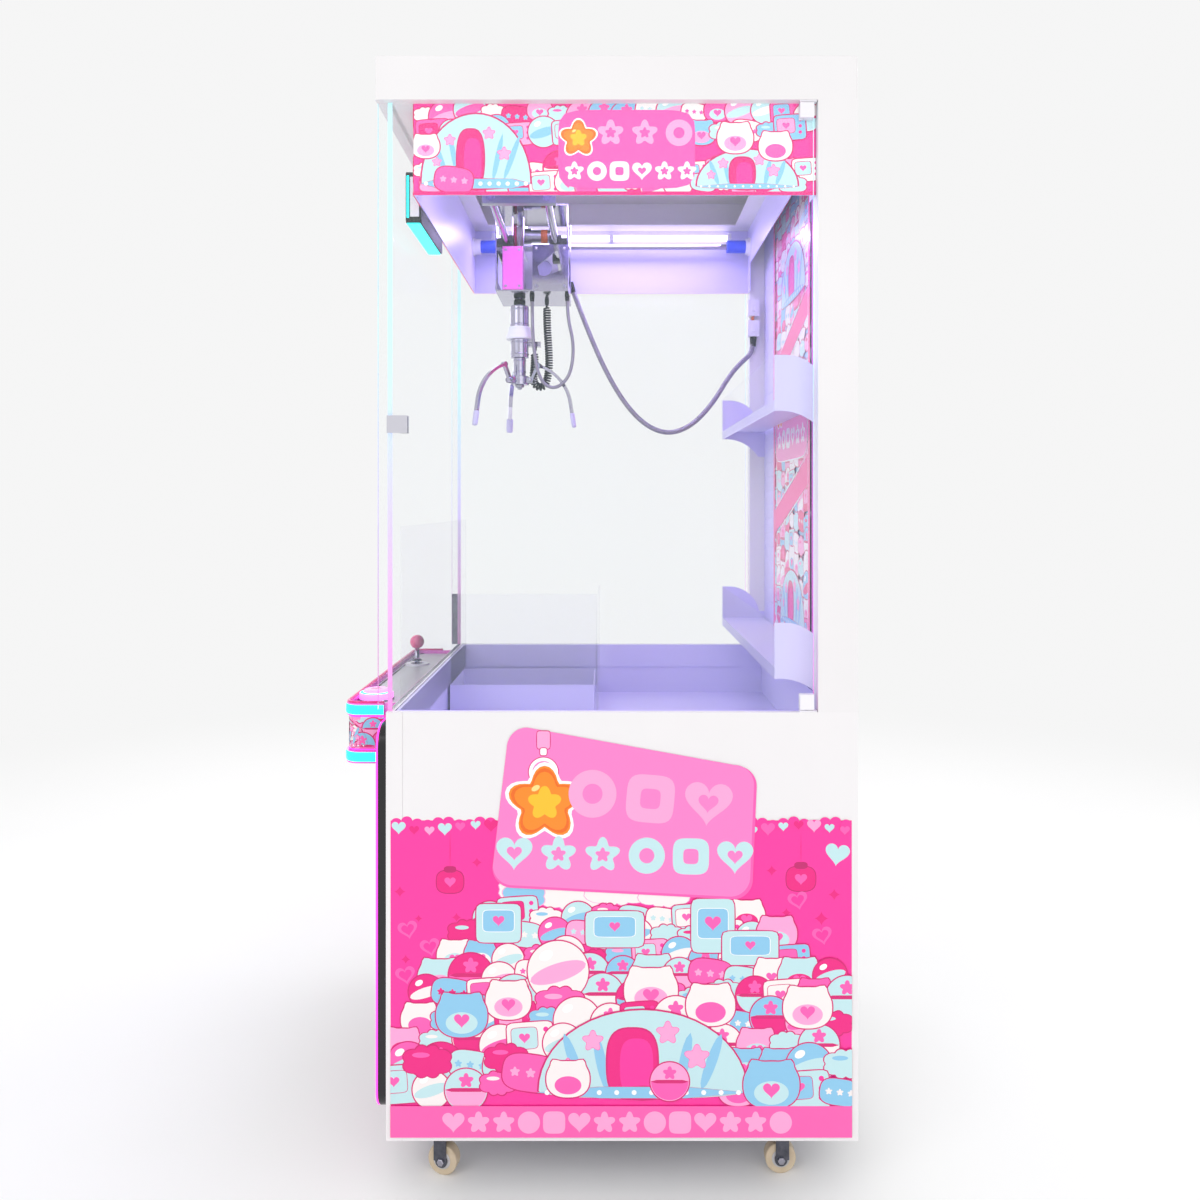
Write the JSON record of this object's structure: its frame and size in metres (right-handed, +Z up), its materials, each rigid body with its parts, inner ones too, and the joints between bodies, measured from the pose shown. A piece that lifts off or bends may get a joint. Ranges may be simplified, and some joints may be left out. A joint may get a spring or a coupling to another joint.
{
  "type": "claw crane machine",
  "caption": "Free-standing claw crane machine with glazed prize case, overhead gantry, winched claw, control box, prize chute and casters.",
  "frame": {"origin": "on the floor, under the middle of the machine's box", "axes": "+Z up; the player stands on the -Y side; +X is to the player's right, the glass door's side"},
  "size_m": [0.8, 0.906, 1.95],
  "materials": {
    "white_board": "white laminate on board",
    "white_sheet": "satin powder coat",
    "lilac_sheet": "satin powder coat",
    "dark_sheet": "black zinc",
    "galvanised": "galvanised",
    "art_print": "gloss printed film",
    "art_board": "gloss printed sheet",
    "clear_glass": "clear, polished edges",
    "clear_acrylic": "clear acrylic",
    "chrome": "polished",
    "steel": "brushed",
    "black_gloss": "gloss black",
    "black_plastic": "matte black",
    "white_plastic": "moulded",
    "pink_plastic": "gloss moulded",
    "magenta_plastic": "gloss moulded",
    "lit_button": "lit, gloss",
    "red_ball": "gloss ball",
    "blue_rubber": "matte",
    "tan_tyre": "matte",
    "cable_grey": "matte jacket",
    "cable_black": "satin jacket",
    "grey_metal": "satin grey"
  },
  "bodies": {
    "cabinet": {"side_panels": "white_board", "front_panel": "white_board", "rear_panel": "white_board", "base_pan": "galvanised", "front_bezel": "black_gloss", "power_inlet": "black_plastic", "header_shell": "white_sheet", "rear_posts": "white_sheet", "back_wall": "white_sheet", "back_art_panel": "art_board", "fixed_glass": "clear_glass", "glass_pivots": "chrome", "skirt_ring": "art_print", "display_unit": "black_plastic", "prize_well": "lilac_sheet", "chute_box": "lilac_sheet", "guard_sheets": "clear_acrylic", "shelves": "white_sheet", "shelf_lips": "clear_acrylic", "shelf_brackets": "white_sheet", "control_box": "art_board", "control_plate": "grey_metal", "control_sockets": "white_plastic", "side_rails": "chrome", "rail_flanges": "white_plastic", "rail_buffers": "blue_rubber", "caster_plates": "dark_sheet", "wire_connectors": "white_plastic"},
    "prize_flap": {"prize_flap": "clear_acrylic"},
    "coin_door": {"coin_door": "steel"},
    "back_door": {"back_door": "white_sheet"},
    "glass_door": {"side_glass_door": "clear_glass", "glass_fittings": "chrome"},
    "lock_cam": {"lock_cam": "chrome"},
    "stick_gimbal": {"stick_gimbal": "white_plastic"},
    "joystick": {"joystick": "red_ball"},
    "drop_button": {"drop_button": "lit_button"},
    "bridge": {"bridge_rods": "chrome", "bridge_trucks": "steel", "main_cable": "cable_grey"},
    "carriage": {"carriage_frame": "chrome", "carriage_bushes": "black_plastic", "carriage_cover": "pink_plastic", "carriage_motors": "steel", "harness_loop": "cable_grey", "curly_cord": "cable_black"},
    "winch_drum": {"winch_drum": "magenta_plastic"},
    "claw": {"claw_body": "chrome", "claw_collar": "white_plastic"},
    "claw_finger_1": {"claw_finger_1": "chrome"},
    "claw_finger_2": {"claw_finger_2": "chrome"},
    "claw_finger_3": {"claw_finger_3": "chrome"},
    "fork_front_right": {"caster_fork_front_right": "dark_sheet"},
    "wheel_front_right": {"caster_wheel_front_right": "tan_tyre"},
    "fork_front_left": {"caster_fork_front_left": "dark_sheet"},
    "wheel_front_left": {"caster_wheel_front_left": "tan_tyre"},
    "fork_back_right": {"caster_fork_back_right": "dark_sheet"},
    "wheel_back_right": {"caster_wheel_back_right": "tan_tyre"},
    "fork_back_left": {"caster_fork_back_left": "dark_sheet"},
    "wheel_back_left": {"caster_wheel_back_left": "tan_tyre"}
  },
  "joints": [
    {"name": "glass_door_swing", "type": "hinge", "parent": "cabinet", "child": "glass_door", "pos_m": [0.392, 0.372, 1.348], "axis": [0, 0, 1], "range_deg": [0, 100]},
    {"name": "lock_turn", "type": "hinge", "parent": "glass_door", "child": "lock_cam", "pos_m": [0.38, -0.331, 1.317], "axis": [1, 0, 0], "range_deg": [0, 90]},
    {"name": "prize_flap_swing", "type": "hinge", "parent": "cabinet", "child": "prize_flap", "pos_m": [-0.245, -0.35, 0.584], "axis": [1, 0, 0], "range_deg": [0, 55]},
    {"name": "coin_door_swing", "type": "hinge", "parent": "cabinet", "child": "coin_door", "pos_m": [0.307, -0.385, 0.44], "axis": [0, 0, 1], "range_deg": [0, 110]},
    {"name": "back_door_swing", "type": "hinge", "parent": "cabinet", "child": "back_door", "pos_m": [0.231, 0.4485, 0.44], "axis": [0, 0, -1], "range_deg": [0, 110]},
    {"name": "stick_side", "type": "hinge", "parent": "cabinet", "child": "stick_gimbal", "pos_m": [-0.15, -0.412, 0.795], "axis": [1, 0, 0], "range_deg": [-14, 14], "stiffness_Nm_per_rad": 0.4},
    {"name": "stick_fore", "type": "hinge", "parent": "stick_gimbal", "child": "joystick", "pos_m": [-0.15, -0.412, 0.795], "axis": [0, 1, 0], "range_deg": [-14, 14], "stiffness_Nm_per_rad": 0.4},
    {"name": "button_press", "type": "slide", "parent": "cabinet", "child": "drop_button", "axis": [0, 0, 1], "range_m": [-0.006, 0], "stiffness_N_per_m": 250, "springref_m": 0.006},
    {"name": "bridge_travel", "type": "slide", "parent": "cabinet", "child": "bridge", "axis": [0, 1, 0], "range_m": [-0.064, 0.335], "deforming": ["main_cable"]},
    {"name": "carriage_travel", "type": "slide", "parent": "bridge", "child": "carriage", "axis": [1, 0, 0], "range_m": [-0.24, 0.25]},
    {"name": "claw_drop", "type": "slide", "parent": "carriage", "child": "claw", "axis": [0, 0, -1], "range_m": [0, 0.6], "deforming": ["curly_cord"]},
    {"name": "winch_spin", "type": "hinge", "parent": "carriage", "child": "winch_drum", "pos_m": [-0.02, -0.163, 1.757], "axis": [0, 1, 0], "range_deg": [0, 1720]},
    {"name": "finger_1_close", "type": "hinge", "parent": "claw", "child": "claw_finger_1", "pos_m": [0.00653, -0.1368, 1.443], "axis": [-0.9703, 0.2419, 0], "range_deg": [0, 48]},
    {"name": "finger_2_close", "type": "hinge", "parent": "claw", "child": "claw_finger_2", "pos_m": [0.01942, -0.18176, 1.443], "axis": [0.6947, 0.7193, 0], "range_deg": [0, 48]},
    {"name": "finger_3_close", "type": "hinge", "parent": "claw", "child": "claw_finger_3", "pos_m": [-0.02595, -0.17044, 1.443], "axis": [0.2756, -0.9613, 0], "range_deg": [0, 48]},
    {"name": "swivel_front_right", "type": "hinge", "parent": "cabinet", "child": "fork_front_right", "pos_m": [0.344, -0.281, 0.072], "axis": [0, 0, 1], "continuous": true},
    {"name": "roll_front_right", "type": "hinge", "parent": "fork_front_right", "child": "wheel_front_right", "pos_m": [0.3484, -0.26458, 0.027], "axis": [0.9659, -0.2588, 0], "continuous": true},
    {"name": "swivel_front_left", "type": "hinge", "parent": "cabinet", "child": "fork_front_left", "pos_m": [-0.344, -0.281, 0.072], "axis": [0, 0, 1], "continuous": true},
    {"name": "roll_front_left", "type": "hinge", "parent": "fork_front_left", "child": "wheel_front_left", "pos_m": [-0.34753, -0.26437, 0.027], "axis": [0.9781, 0.2079, 0], "continuous": true},
    {"name": "swivel_back_right", "type": "hinge", "parent": "cabinet", "child": "fork_back_right", "pos_m": [0.344, 0.346, 0.072], "axis": [0, 0, 1], "continuous": true},
    {"name": "roll_back_right", "type": "hinge", "parent": "fork_back_right", "child": "wheel_back_right", "pos_m": [0.344, 0.329, 0.027], "axis": [-1, 0, 0], "continuous": true},
    {"name": "swivel_back_left", "type": "hinge", "parent": "cabinet", "child": "fork_back_left", "pos_m": [-0.344, 0.346, 0.072], "axis": [0, 0, 1], "continuous": true},
    {"name": "roll_back_left", "type": "hinge", "parent": "fork_back_left", "child": "wheel_back_left", "pos_m": [-0.344, 0.329, 0.027], "axis": [-1, 0, 0], "continuous": true}
  ],
  "couplings": [
    {"joint": "winch_spin", "follows": "claw_drop", "rad_per_m": 50},
    {"joint": "finger_2_close", "follows": "finger_1_close", "ratio": 1},
    {"joint": "finger_3_close", "follows": "finger_1_close", "ratio": 1}
  ]
}
